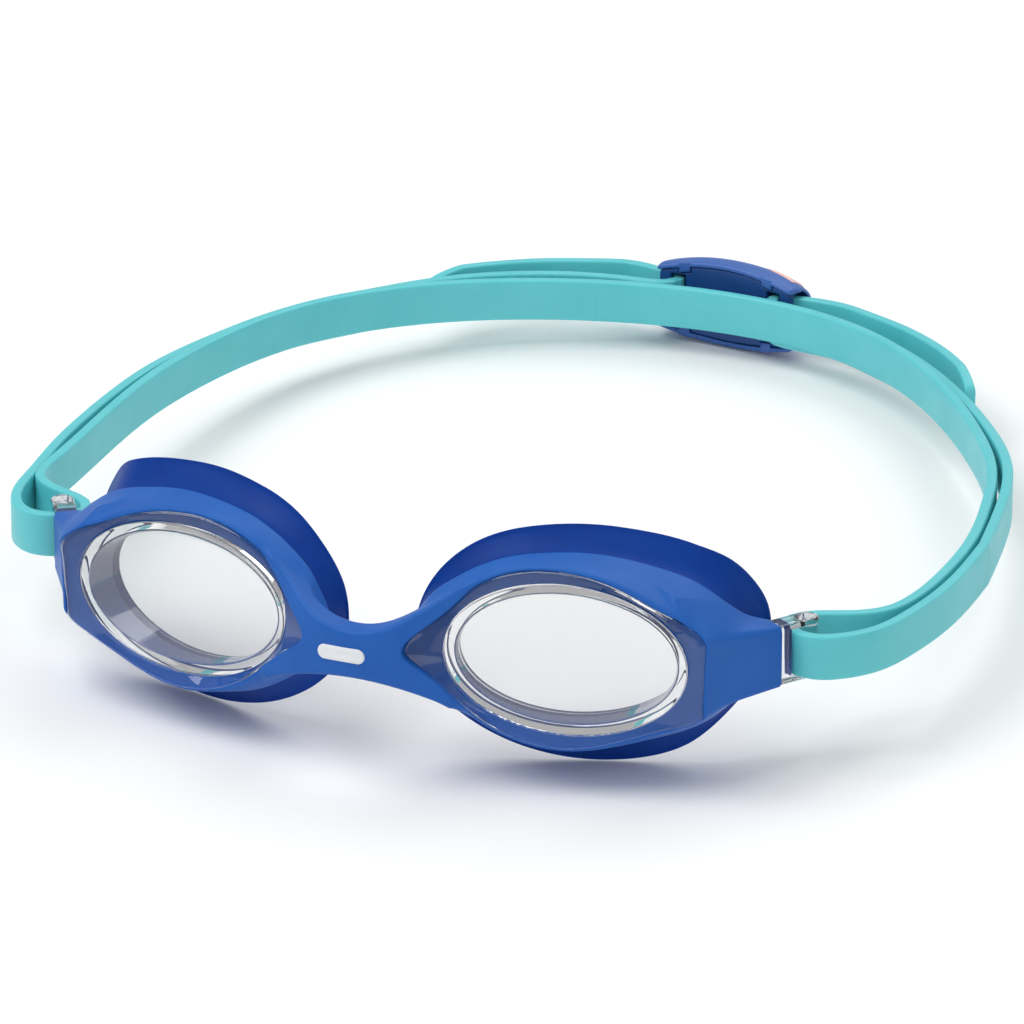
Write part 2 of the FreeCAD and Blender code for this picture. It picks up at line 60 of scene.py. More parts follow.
CUP_DEPTH, CUP_SLOPE = 9.0, 0.12
FRAME_D, RIM_SLOPE, SEAL_D = 7.5, 8.0 / 60.0, 13.5
BRIDGE_Y, BRIDGE_T, BRIDGE_TOP, BRIDGE_LOW, BRIDGE_HALF = -9.0, 5.0, 3.2, -5.4, 17.0
MARK_L, MARK_H, MARK_T, MARK_X = 8.6, 2.6, 0.35, -1.4
ARM_ROOT, ARM_END = np.array((58.9, 5.3)), np.array((67.0, 17.8))
ARM_T, ARM_TOP, ARM_LOW = 4.8, 4.5, -6.5
LUG_WALL, LUG_SLOT, LUG_LEN, POST_R, BAR_T = 2.3, 2.6, 8.6, 1.8, 1.2
STRAP_Z, STRAP_W, STRAP_T = -1.1, 7.8, 1.9
CLIP_MID, CLIP_TURN, CLIP_R = (-3.7, 170.4), -7.9, 75.0
CLIP_HALF, CLIP_DEPTH, CLIP_RIM, CLIP_SKIN = 13.6, 8.4, 3.8, 1.0
INSERT_T, SLOT_A, SLOT_W, SLOT_H, TURN_R, TURN_N = 2.0, 10.0, 3.0, 9.4, 1.45, 3.1
INLAY_T, INLAY_SLANT = 0.4, 0.24
REST_TILT = 4.56

# Sizes that differ a little from the CAD model, which has the clip 15.4 high, 11.5 at its ends and
# 0.7 below the strap, and the inlay 23.0 by 6.4.
CLIP_H, CLIP_END_H, CLIP_DROP = 16.0, 12.3, 0.55
INLAY_L, INLAY_H = 24.0, 11.0

# Outlines in the window's axes, from the beak at the nose; the same points as in the CAD model.
BEZEL_OUTLINE = [(-26.8, -0.4), (-24.6, -2.4), (-20.6, -5.4), (-15.6, -9.9), (-8.0, -14.0),
                 (1.0, -15.2), (10.0, -13.1), (18.0, -10.4), (22.4, -8.9), (23.3, -8.1),
                 (23.5, -6.8), (23.7, -1.5), (23.9, 3.8), (23.9, 5.2), (23.1, 6.4), (17.0, 9.9),
                 (9.0, 13.4), (1.0, 15.2), (-8.0, 14.7), (-16.0, 10.9), (-21.4, 5.8)]
RIM_OUTLINE = [(-28.5, -1.0), (-25.5, -6.5), (-20.0, -11.0), (-13.0, -15.0), (-4.0, -17.3),
               (5.0, -17.4), (14.0, -15.2), (22.5, -11.6), (27.2, -6.0), (27.6, 4.0),
               (22.6, 11.2), (13.0, 15.2), (4.0, 16.8), (-5.0, 16.6), (-13.5, 14.9),
               (-20.5, 11.0), (-26.0, 6.0)]
SEAL_OUTLINE = [(-28.0, -0.5), (-26.0, -8.2), (-20.0, -14.6), (-11.5, -19.2), (-2.0, -21.4),
                (8.0, -21.2), (17.5, -18.2), (25.0, -11.4), (29.3, -4.5), (30.3, 1.5),
                (29.6, 6.0), (27.3, 10.3), (23.5, 14.6), (17.5, 17.6), (10.0, 19.2),
                (1.5, 20.0), (-8.5, 19.5), (-16.8, 16.8), (-24.6, 9.8)]

# Plan routes of the strap.
ARM_DIR = (ARM_END - ARM_ROOT) / np.linalg.norm(ARM_END - ARM_ROOT)
ARM_IN = np.array((-ARM_DIR[1], ARM_DIR[0]))


def arm_point(along, inward):
    """Plan point at a distance beyond the arm's end and inward from its outer face."""
    return tuple(ARM_END + ARM_DIR * along + ARM_IN * inward)


SLOT_MID = LUG_WALL + LUG_SLOT / 2
FOLD_ROUTE = [(75.4, 22.3), (72.0, 20.6), arm_point(SLOT_MID, 0.4), arm_point(SLOT_MID, 2.6),
              arm_point(SLOT_MID + 0.7, 5.2), (66.4, 28.6), (70.0, 30.9), (74.6, 33.0), (78.4, 36.4)]
INNER_ROUTE = [(80.6, 42.5), (81.6, 55.0), (80.8, 71.0), (77.4, 88.5), (72.8, 103.8), (63.8, 120.6),
               (52.6, 136.6), (39.2, 151.2), (25.4, 160.8), (5.6, 166.8), (-6.6, 167.4),
               (-18.2, 166.1), (-43.0, 158.0), (-58.8, 147.4), (-71.6, 131.2), (-79.2, 108.0),
               (-81.6, 88.0), (-81.0, 65.0), (-80.0, 45.0)]
LEFT_LEG_ROUTE = [(79.6, 27.2), (82.4, 36.0), (84.1, 48.5), (83.6, 70.0), (79.8, 89.6),
                  (75.3, 105.0), (66.0, 122.0), (54.4, 138.2), (40.6, 153.0), (26.2, 163.0),
                  (19.4, 165.6)]
RIGHT_LEG_ROUTE = [(-78.7, 27.3), (-80.9, 38.4), (-82.8, 52.0), (-84.0, 70.0), (-84.0, 90.0),
                   (-81.4, 109.4), (-73.6, 132.8), (-60.4, 149.3), (-44.0, 160.3),
                   (-28.0, 167.2), (-22.6, 168.9)]
LEFT_TAIL_ROUTE = [(20.0, 170.9), (24.6, 168.9), (33.4, 164.2), (44.8, 155.4), (51.4, 148.0),
                   (54.5, 143.5)]
RIGHT_TAIL_ROUTE = [(-25.4, 177.4), (-31.5, 175.4), (-38.8, 172.1), (-46.8, 166.8), (-53.6, 160.6),
                    (-56.8, 156.6)]

# ---- Sizes of the looks, in mm ------------------------------------------------------------------
BOND = 0.04             # the soft frame reaches this far into the clear bezel it is moulded onto
GAP = 0.06              # the cup's oval wall stands free of the soft frame by this
PROUD = 0.2             # the clear bevel stands this much in front of the soft lip
PROUD_TEMPLE = 0.5      # and this much more at the temple
SLANT_DEPTH = 0.8       # depth of the bezel's bevel, as a share of its width
STEP = 0.34    # grid of the skinned solids
FINE_STEP = 0.17
RIB_PITCH, RIB_DEPTH = 2.8, 0.45
LINES_X, LINE_H, LINE_W = (-14.3, -26.7, -41.5, -66.5), 0.09, 0.3    # moulding lines across the band
# Sag of each leg below the band, as (distance from its seam, sag).
LEFT_SAG = [(0, 0), (45, 0), (88, 1.5), (112, 1.6), (126, 0.8), (134, 0.5)]
RIGHT_SAG = [(0, 0), (25, 0.3), (48, 1.2), (78, 1.2), (100, -0.3), (118, -0.5), (130, 0.5), (140, 0.5)]
BRIDGE_END_TOP, BRIDGE_END_LOW = 10.5, -9.5    # heights of the bridge where it meets the rims
BRIDGE_RECESS = 4.2            # the bridge's upper shoulders fall back by this beside the rims
BEZEL_LOW = (-0.9, 0.06)       # front depth and slope of the bezel's lower edge
BEZEL_HIGH = (-0.3, -0.045)    # and of its upper edge
LIP_LOW, LIP_HIGH = 0.3, 0.7   # width of the soft lip below and above the bezel
LUG_ROOT = 1.5                 # the lug reaches this far into the soft arm
SEAL_LIP_R = 0.6               # radius of the seal's rounded lip
SEAL_WRAP = 5.2                # the seal reaches this much further back round the temple
SEAL_DIP = 1.4                 # and this much less at the upper nose side
LEG_SEAM = 3            # each leg's own piece starts at this point of its route

MOUNTS = {mount["name"]: np.array(mount["pos_m"]) for mount in frame["record"]["mounts"]}
ORIGIN = (MOUNTS["window_left"] + MOUNTS["window_right"]) / 2


# ---- Frames -------------------------------------------------------------------------------------
def turn(axis, degrees):
    """Rotation matrix about an axis."""
    return np.array(Matrix.Rotation(math.radians(degrees), 3, axis))


REST_TURN = turn("X", -REST_TILT)
WINDOW_TURN = turn("Z", WRAP) @ turn("X", -PITCH)
CLIP_AXES = turn("Z", CLIP_TURN)


def to_row(points):
    """Points of the wearing frame, in mm, in the row frame in metres."""
    return np.asarray(points, float) @ REST_TURN.T / 1000 + ORIGIN


def window_to_wear(points):
    """Points in the left window's axes (u outward, d back, v up), in the wearing frame."""
    return np.asarray(points, float) @ WINDOW_TURN.T + (EYE_X, 0, 0)


def wear_to_window(x, y, z):
    """u, d and v of points of the wearing frame, in the left window's axes."""
    moved = (x - EYE_X, y, z)
    return [sum(WINDOW_TURN[i, j] * moved[i] for i in range(3)) for j in range(3)]


def clip_to_wear(points):
    """Points in the clip's axes (a along, n outward, z up), in the wearing frame."""
    return np.asarray(points, float) @ CLIP_AXES.T + (*CLIP_MID, STRAP_Z - CLIP_DROP)


def mirrored(points, quads):
    """The same mesh on the wearer's right."""
    return points * (-1, 1, 1), quads[:, ::-1]


# ---- Curves -------------------------------------------------------------------------------------
class Spline:
    """A smooth cubic curve through points, by chord length."""

    def __init__(self, points, closed=False):
        points = np.array(points, float)
        if closed:
            points = np.vstack([points, points[:1]])
        gaps = np.linalg.norm(np.diff(points, axis=0), axis=1)
        slopes = np.diff(points, axis=0) / gaps[:, None]
        last = len(gaps)
        system, wanted = np.zeros((last + 1, last + 1)), np.zeros_like(points)
        for i in range(1, last):
            system[i, i - 1:i + 2] = gaps[i - 1], 2 * (gaps[i - 1] + gaps[i]), gaps[i]
            wanted[i] = 6 * (slopes[i] - slopes[i - 1])
        system[0, 0] = system[last, last] = 1
        if closed:
            system[0, last] = -1
            system[last] = 0
            system[last, 0] = system[last, last] = 2 * gaps[0]
            system[last, 1], system[last, last - 1] = gaps[0], gaps[-1]
            system[last, last] = 2 * gaps[-1]
            wanted[last] = 6 * (slopes[0] - slopes[-1])
        self.points, self.gaps = points, gaps
        self.bends = np.linalg.solve(system, wanted)
        self.knots = np.concatenate([[0], np.cumsum(gaps)])

    def at(self, where):
        """Points of the curve at chord lengths."""
        i = np.clip(np.searchsorted(self.knots, where, side="right") - 1, 0, len(self.gaps) - 1)
        gap = self.gaps[i][:, None]
        after = (where - self.knots[i])[:, None]
        before = gap - after
        m0, m1 = self.bends[i], self.bends[i + 1]
        straight = (self.points[i] * before + self.points[i + 1] * after) / gap
        bent = (m0 * (before ** 3 / gap - before * gap) + m1 * (after ** 3 / gap - after * gap)) / 6
        return straight + bent

    def evenly(self, spacing):
        """Points of the curve that far apart, from end to end, and how far along each one is."""
        fine = self.at(np.linspace(0, self.knots[-1], 40 * len(self.knots)))
        run = np.concatenate([[0], np.cumsum(np.linalg.norm(np.diff(fine, axis=0), axis=1))])
        along = np.linspace(0, run[-1], max(3, round(run[-1] / spacing) + 1))
        return np.stack([np.interp(along, run, fine[:, k]) for k in range(fine.shape[1])], 1), along


def radius_table(outline):
    """Radius of a closed outline round the window's centre, for equal steps of angle from -pi."""
    curve = Spline(outline, closed=True)
    u, v = curve.at(np.linspace(0, curve.knots[-1], 4000, endpoint=False)).T
    angle = np.arctan2(v, u)
    order = np.argsort(angle)
    steps = np.linspace(-math.pi, math.pi, 1441)
    return np.interp(steps, angle[order], np.hypot(u, v)[order], period=2 * math.pi)


BEZEL_R, RIM_R, SEAL_R = (radius_table(o) for o in (BEZEL_OUTLINE, RIM_OUTLINE, SEAL_OUTLINE))


def radius(table, angle):
    """Radius of an outline at angles."""
    return np.interp(angle, np.linspace(-math.pi, math.pi, len(table)), table)


def oval_radius(angle, half_u=WINDOW_A, half_v=WINDOW_B):
    """Radius of an oval at angles."""
    return half_u * half_v / np.hypot(half_v * np.cos(angle), half_u * np.sin(angle))


def ease(x, start, end):
    """From 0 before start to 1 after end, smoothly."""
    t = np.clip((x - start) / (end - start), 0, 1)
    return t * t * (3 - 2 * t)


# ---- Solids as fields ---------------------------------------------------------------------------
def both(a, b, rounding):
    """Field of what lies in a and in b, with the edge rounded."""
    h = np.maximum(rounding - np.abs(a - b), 0) / rounding
    return np.maximum(a, b) + h * h * rounding / 4


def either(a, b, fillet):
    """Field of what lies in a or in b, with the corner filled."""
    return -both(-a, -b, fillet)


def slab_field(x, low, high):
    """Field of the space between low and high."""
    return np.maximum(low - x, x - high)


def outward(points, faces):
    """The same closed mesh with its faces turned so that they all look outward."""
    a, b, c, d = (points[[face[k] for face in faces]] for k in (0, 1, 2, -1))
    volume = (a * (np.cross(b, c) + np.cross(c, d))).sum()
    return points, faces if volume > 0 else [face[::-1] for face in faces]


def skin(field, low, high, step):
    """Vertices and quads of the surface where a field is zero."""
    axes = [np.arange(a - 2 * step, b + 3 * step, step) for a, b in zip(low, high)]
    values = field(*np.meshgrid(*axes, indexing="ij")).astype(np.float32)
    grid = openvdb.FloatGrid(background=float(values.max()))
    grid.copyFromArray(np.ascontiguousarray(values))
    points, quads = grid.convertToQuads(isovalue=0.0)
    points = points.astype(float) * step + [a[0] for a in axes]
    reach = step / 4
    for _ in range(2):
        here = field(*points.T)
        slope = np.stack([(field(*(points + reach * np.eye(3)[k]).T) - here) / reach
                          for k in range(3)], 1)
        move = here / np.maximum((slope ** 2).sum(1), 0.2)
        points -= np.clip(move, -step, step)[:, None] * slope
    return outward(points, quads.tolist())


# ---- Meshes -------------------------------------------------------------------------------------
def ring_quads(rings, around, closed_tube=False):
    """Quads of a grid of rings; closed_tube joins the last ring to the first."""
    row = np.arange(rings if closed_tube else rings - 1)[:, None] * around
    after = (row + around) % (rings * around)
    col = np.arange(around)[None]
    side = (col + 1) % around
    return np.stack([row + col, row + side, after + side, after + col], -1).reshape(-1, 4)


def piece(name, points, faces, material, slot, sharp=None):
    """A smooth-shaded object from vertices of the wearing frame."""
    mesh = bpy.data.meshes.new(name)
    mesh.from_pydata(to_row(points).tolist(), [], [list(map(int, face)) for face in faces])
    mesh.validate()
    mesh.shade_smooth()
    if sharp is not None:
        mesh.set_sharp_from_angle(angle=math.radians(sharp))
    made = bpy.data.objects.new(name, mesh)
    bpy.context.scene.collection.objects.link(made)
    mesh.materials.append(material)
    return made


def capped(rings):
    """Vertices and faces of a solid whose rings run from one end cap to the other."""
    rings = np.asarray(rings, float)
    count, around = rings.shape[:2]
    points = np.vstack([rings.reshape(-1, 3), rings[0].mean(0), rings[-1].mean(0)])
    faces = ring_quads(count, around).tolist()
    first, last = len(points) - 2, len(points) - 1
    for k in range(around):
        after = (k + 1) % around
        faces.append([first, after, k])
        faces.append([last, (count - 1) * around + k, (count - 1) * around + after])
    return outward(points, faces)


# ---- Materials ----------------------------------------------------------------------------------
def grain(tree, scale, detail=3.0):
    """A noise texture fixed to the piece, with features of about 1 / scale metres."""
    where = tree.nodes.new("ShaderNodeTexCoord")
    noise = tree.nodes.new("ShaderNodeTexNoise")
    noise.inputs["Scale"].default_value = scale
    noise.inputs["Detail"].default_value = detail
    tree.links.new(where.outputs["Object"], noise.inputs["Vector"])
    return noise.outputs["Fac"]


def spread(tree, factor, low, high):
    """The factor spread over low to high."""
    node = tree.nodes.new("ShaderNodeMapRange")
    node.inputs["From Min"].default_value, node.inputs["From Max"].default_value = 0.3, 0.7
    node.inputs["To Min"].default_value, node.inputs["To Max"].default_value = low, high
    tree.links.new(factor, node.inputs["Value"])
    return node.outputs["Result"]


def moulded(name, dark, light, rough, grain_mm=0.25, bump=0.12, cloud_mm=9.0, **shader):
    """A moulded soft or hard plastic: cloudy colour, uneven satin and a fine eroded grain."""
    material = bpy.data.materials.new(name)
    material.use_nodes = True
    tree = material.node_tree
    body = tree.nodes["Principled BSDF"]
    for key, value in shader.items():
        body.inputs[key.replace("_", " ")].default_value = value
    cloud = grain(tree, 1000 / cloud_mm)
    mix = tree.nodes.new("ShaderNodeMix")
    mix.data_type = "RGBA"
    mix.inputs["A"].default_value, mix.inputs["B"].default_value = (*dark, 1), (*light, 1)
    tree.links.new(spread(tree, cloud, 0.0, 1.0), mix.inputs["Factor"])
    tree.links.new(mix.outputs["Result"], body.inputs["Base Color"])
    tree.links.new(spread(tree, grain(tree, 400 / cloud_mm * 3), *rough), body.inputs["Roughness"])
    relief = tree.nodes.new("ShaderNodeBump")
    relief.inputs["Strength"].default_value = bump
    relief.inputs["Distance"].default_value = grain_mm / 4000
    tree.links.new(grain(tree, 1000 / grain_mm, 2.0), relief.inputs["Height"])
    tree.links.new(relief.outputs["Normal"], body.inputs["Normal"])
    return material


def clear_plastic():
    """Polished clear polycarbonate that lets the lamps' light through."""
    material = bpy.data.materials.new("clear_polycarbonate")
    material.use_nodes = True
    tree = material.node_tree
    body = tree.nodes["Principled BSDF"]
    body.inputs["Base Color"].default_value = (0.82, 0.822, 0.835, 1)
    body.inputs["Transmission Weight"].default_value = 1.0
    body.inputs["IOR"].default_value = 1.58
    body.inputs["Specular IOR Level"].default_value = 0.25
    tree.links.new(spread(tree, grain(tree, 60), 0.0, 0.03), body.inputs["Roughness"])
    relief = tree.nodes.new("ShaderNodeBump")
    relief.inputs["Strength"].default_value = 0.03
    relief.inputs["Distance"].default_value = 0.0002
    tree.links.new(grain(tree, 110, 1.0), relief.inputs["Height"])
    tree.links.new(relief.outputs["Normal"], body.inputs["Normal"])
    through = tree.nodes.new("ShaderNodeBsdfTransparent")
    through.inputs["Color"].default_value = (0.66, 0.68, 0.71, 1)
    ray = tree.nodes.new("ShaderNodeLightPath")
    mix = tree.nodes.new("ShaderNodeMixShader")
    tree.links.new(ray.outputs["Is Shadow Ray"], mix.inputs["Fac"])
    tree.links.new(body.outputs["BSDF"], mix.inputs[1])
    tree.links.new(through.outputs["BSDF"], mix.inputs[2])
    tree.links.new(mix.outputs["Shader"], tree.nodes["Material Output"].inputs["Surface"])
    return material


CLEAR = clear_plastic()
FRAME_BLUE = moulded("frame_blue", (0.012, 0.102, 0.42), (0.016, 0.118, 0.46), (0.42, 0.52),
                     Specular_IOR_Level=0.2)
SEAL_BLUE = moulded("seal_blue", (0.001, 0.036, 0.25), (0.002, 0.046, 0.29), (0.40, 0.50),
                    Specular_IOR_Level=0.12, Subsurface_Weight=0.15,
                    Subsurface_Radius=(0.001, 0.002, 0.004), Subsurface_Scale=0.5)
TEAL = moulded("strap_teal", (0.10, 0.545, 0.59), (0.12, 0.575, 0.62), (0.38, 0.48), grain_mm=0.2,
               bump=0.06, Subsurface_Weight=0.25, Subsurface_Radius=(0.0006, 0.002, 0.002),
               Subsurface_Scale=1.0)
CLIP_BLUE = moulded("clip_blue", (0.030, 0.110, 0.40), (0.038, 0.130, 0.44), (0.36, 0.46))
CLIP_NAVY = moulded("clip_navy", (0.005, 0.052, 0.22), (0.008, 0.064, 0.26), (0.40, 0.50))
CORAL = moulded("clip_coral", (0.82, 0.47, 0.42), (0.88, 0.54, 0.48), (0.35, 0.45))
PRINT_WHITE = moulded("mark_white", (0.74, 0.77, 0.80), (0.80, 0.83, 0.86), (0.45, 0.55))


# ---- Clear cups ---------------------------------------------------------------------------------
WINDOW_STEP = 0.35      # the bezel starts this far behind the window's face
CUP_AROUND = 320


def edge_depth(u, v):
    """Front depth of the bezel's outer edge, which swings from the lower to the upper line."""
    middle = 3.0 - 4.0 * ease(u, -10, 10)
    low, high = (start + slope * u for start, slope in (BEZEL_LOW, BEZEL_HIGH))
    swing = ease(v, middle - 3.5, middle + 3.5)
    straight = np.clip((v + 8.5) / 15, 0, 1)
    return low + (high - low) * (swing + (straight - swing) * ease(u, 11, 18))


def bezel_slant(u):
    """Width of the bevel along the bezel's edge, which is wider at the temple."""
    return 0.3 + 0.6 * ease(u, 15, 22)


def bezel_edge(angle):
    """Radius and front depth of the bezel's outer edge at angles."""
    edge = radius(BEZEL_R, angle)
    return edge, edge_depth(edge * np.cos(angle), edge * np.sin(angle))


def bezel_depth(r, angle):
    """Front depth of the sloping bezel between the window and its outer edge."""
    edge, depth = bezel_edge(angle)
    oval = oval_radius(angle)
    share = np.clip((r - oval) / (edge - oval), 0, 1)
    return WINDOW_STEP + (depth - WINDOW_STEP) * share


def rounded_rings(corners, support=0.3):
    """Rings of a turned profile of (radius, depth, bend), each bend with a support ring on both sides."""
    spots = [np.stack(np.broadcast_arrays(r, d), 1) for r, d, _ in corners]
    rings = [spots[0]]
    for i in range(1, len(corners) - 1):
        bend = corners[i][2]
        ways = []
        for other in (spots[i - 1], spots[i + 1]):
            length = np.linalg.norm(other - spots[i], axis=1)[:, None]
            ways.append(((other - spots[i]) / length, length))
        (back, back_l), (on, on_l) = ways
        rings.append(spots[i] + back * np.minimum(bend + support, 0.45 * back_l))
        start, end = spots[i] + back * bend, spots[i] + on * bend
        for t in (0, 0.25, 0.5, 0.75, 1):
            rings.append((1 - t) ** 2 * start + 2 * t * (1 - t) * spots[i] + t ** 2 * end)
        rings.append(spots[i] + on * np.minimum(bend + support, 0.45 * on_l))
    return rings + [spots[-1]]


def cup_mesh():
    """One cup in the window's axes: flat window, small step, sloping bezel and oval wall."""
    around = np.linspace(0, 2 * math.pi, CUP_AROUND, endpoint=False)
    angle = np.arctan2(WINDOW_B * np.sin(around), WINDOW_A * np.cos(around))
    oval, inner = oval_radius(angle), oval_radius(angle, WINDOW_A - WALL_T, WINDOW_B - WALL_T)
    edge, edge_d = bezel_edge(angle)
    back = CUP_DEPTH + CUP_SLOPE * oval * np.cos(angle)
    slant = bezel_slant(edge * np.cos(angle))
    rings = rounded_rings([
        (0.3 * oval, 0.0, 0.0), (oval, 0.0, 0.12), (oval, WINDOW_STEP, 0.1), (edge - slant, edge_d, 0.1),
        (edge, edge_d + SLANT_DEPTH * slant, 0.1), (edge, edge_d + WALL_T, 0.1),
        (oval, WINDOW_STEP + WALL_T, 0.3), (oval, back, 0.25),
        (inner, back, 0.25), (inner, WINDOW_T, 0.5), (0.3 * inner, WINDOW_T, 0.0)])
    spread_out = [(ring.T[0], ring.T[1]) for ring in rings]
    return capped([np.stack([r * np.cos(angle), d, r * np.sin(angle)], 1) for r, d in spread_out])


def lug_field(x, y, z):
    """The clear lug beyond the left arm: wall, slot, round post, top bar and bottom bar."""
    along = (x - ARM_END[0]) * ARM_DIR[0] + (y - ARM_END[1]) * ARM_DIR[1]
    inward = (x - ARM_END[0]) * ARM_IN[0] + (y - ARM_END[1]) * ARM_IN[1]
    half = (ARM_T - 0.8) / 2
    across = inward - ARM_T / 2
    tip = LUG_LEN - half
    plan = np.hypot(np.maximum(along - tip, 0), across) - half
    plan = both(plan, -LUG_ROOT - along, 0.4)
    low, high = ARM_LOW + 0.1, ARM_TOP - 0.1
    body = both(plan, slab_field(z, low, high), 0.9)
    hole = np.maximum(LUG_WALL - along, slab_field(z, low + BAR_T, high - BAR_T))
    body = both(body, -hole, 0.35)
    post = np.hypot(along - (LUG_WALL + LUG_SLOT + POST_R), across) - POST_R
    post = np.maximum(post, slab_field(z, low + BAR_T / 2, high - BAR_T / 2))
    return either(body, post, 0.5)


def make_lenses():
    """Both clear cups with their lugs."""
    cup_points, cup_faces = cup_mesh()
    cup_points = window_to_wear(cup_points)
    low = (ARM_END[0] - 6, ARM_END[1] - 4, ARM_LOW)
    lug_points, lug_quads = skin(lug_field, low, (ARM_END[0] + 9, ARM_END[1] + 11, ARM_TOP), FINE_STEP)
    points = np.vstack([cup_points, lug_points])
    faces = cup_faces + [[corner + len(cup_points) for corner in face] for face in lug_quads]
    for name, sign in (("lens_left", 1), ("lens_right", -1)):
        side = [face[::sign] for face in faces]
        lens = piece(name + "_clear", points * (sign, 1, 1), side, CLEAR, "clear_polycarbonate")
        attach(lens, "goggles")
        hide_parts(name)


# ---- Soft frame ---------------------------------------------------------------------------------
def bridge_front(x):
    """Y of the bridge's front face."""
    return BRIDGE_Y + 3.4 * (x / BRIDGE_HALF) ** 2


def rim_field(u, d, v):
    """One rim, from the lip round the bezel back to the seal."""
    r, angle = np.hypot(u, v), np.arctan2(v, u)
    edge, edge_d = bezel_edge(angle)
    temple = ease(edge * np.cos(angle), 17, 22)
    lip = edge + (LIP_LOW + (LIP_HIGH - LIP_LOW) * ease(v, -6, 6)) * (1 - 0.6 * temple)
    back = radius(RIM_R, angle)
    front_d = edge_d + PROUD + PROUD_TEMPLE * temple + SLANT_DEPTH * bezel_slant(edge * np.cos(angle))
    back_d = FRAME_D + RIM_SLOPE * u
    share = np.clip((d - front_d) / (back_d - front_d), 0, 1) ** 0.8
    wall = (r - lip - (back - lip) * share) * 0.93
    return both(both(wall, front_d - d, 0.5), d - back_d, 0.9)


def bridge_field(x, y, z):
    """The nose bridge: a saddle that widens towards the two rims."""
    out = (x / BRIDGE_HALF) ** 2
    top = BRIDGE_TOP + (BRIDGE_END_TOP - BRIDGE_TOP) * out * (1.45 - 0.45 * out)
    low = BRIDGE_LOW - (BRIDGE_LOW - BRIDGE_END_LOW) * out
    front = bridge_front(x) + BRIDGE_RECESS * ease(np.abs(x), 4, 17) * ease(z, -1, 9)
    depth = both(front - y, y - front - BRIDGE_T, 0.8)
    height = both((z - top) * 0.9, (low - z) * 0.95, 0.8)
    return both(both(depth, height, 1.1), np.abs(x) - BRIDGE_HALF, 0.8)


def arm_field(x, y, z):
    """The left soft arm, which spreads into the rim at its root."""
    length = np.linalg.norm(ARM_END - ARM_ROOT)
    along = (x - ARM_ROOT[0]) * ARM_DIR[0] + (y - ARM_ROOT[1]) * ARM_DIR[1]
    inward = (x - ARM_ROOT[0]) * ARM_IN[0] + (y - ARM_ROOT[1]) * ARM_IN[1]
    left = np.clip(1 - along / length, 0, 1.2)
    spread = left * np.clip(inward, 0, 5.5)
    height = slab_field(z, ARM_LOW - 0.6 * left - 0.4 * spread, ARM_TOP + 0.8 * left + 0.95 * spread) * 0.8
    depth = slab_field(inward, 0, ARM_T + 3.5 * left)
    return both(both(height, depth, 1.0), slab_field(along, -3.0, length), 0.35)


def frame_field(x, y, z):
    """The one-piece soft frame with its pockets for the cups."""
    x = np.abs(x)
    u, d, v = wear_to_window(x, y, z)
    solid = either(rim_field(u, d, v), bridge_field(x, y, z), 2.8)
    solid = either(solid, arm_field(x, y, z), 2.4)
    r, angle = np.hypot(u, v), np.arctan2(v, u)
    share, pull = np.hypot(u / WINDOW_A, v / WINDOW_B), np.hypot(u / WINDOW_A ** 2, v / WINDOW_B ** 2)
    bore = share * (share - 1) / np.maximum(pull, 1e-6) - GAP
    pocket = both(r - radius(BEZEL_R, angle), d - bezel_depth(r, angle) - WALL_T, 0.1) + BOND
    return both(solid, -np.minimum(bore, pocket), 0.3)


def make_frame():
    """The one-piece soft frame."""
    points, quads = skin(frame_field, (-69, -10, -19), (69, 19.5, 18), STEP)
    soft_frame = piece("soft_frame", points, quads, FRAME_BLUE, "frame_blue")
    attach(soft_frame, "goggles")
    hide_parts("frame")


def make_mark():
    """A plain rounded bar printed on the front of the bridge."""
    around = np.linspace(0, 2 * math.pi, 72, endpoint=False)
    half = (MARK_L - MARK_H) / 2
    rings = []
    profile = ((0.4, MARK_T), (0.85, MARK_T), (0.96, 0.8 * MARK_T), (1.0, 0.4 * MARK_T), (1.0, -0.3))
    for scale, out in profile:
        x = MARK_X + half * np.sign(np.cos(around)) + scale * MARK_H / 2 * np.cos(around)
        z = scale * MARK_H / 2 * np.sin(around) + (BRIDGE_TOP + BRIDGE_LOW) / 2
        rings.append(np.stack([x, bridge_front(x) - out, z], 1))
    points, faces = capped(rings)
    mark = piece("bridge_bar_mark", points, faces, PRINT_WHITE, "mark_white", sharp=60)
    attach(mark, "goggles")
    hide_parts("bridge_mark")


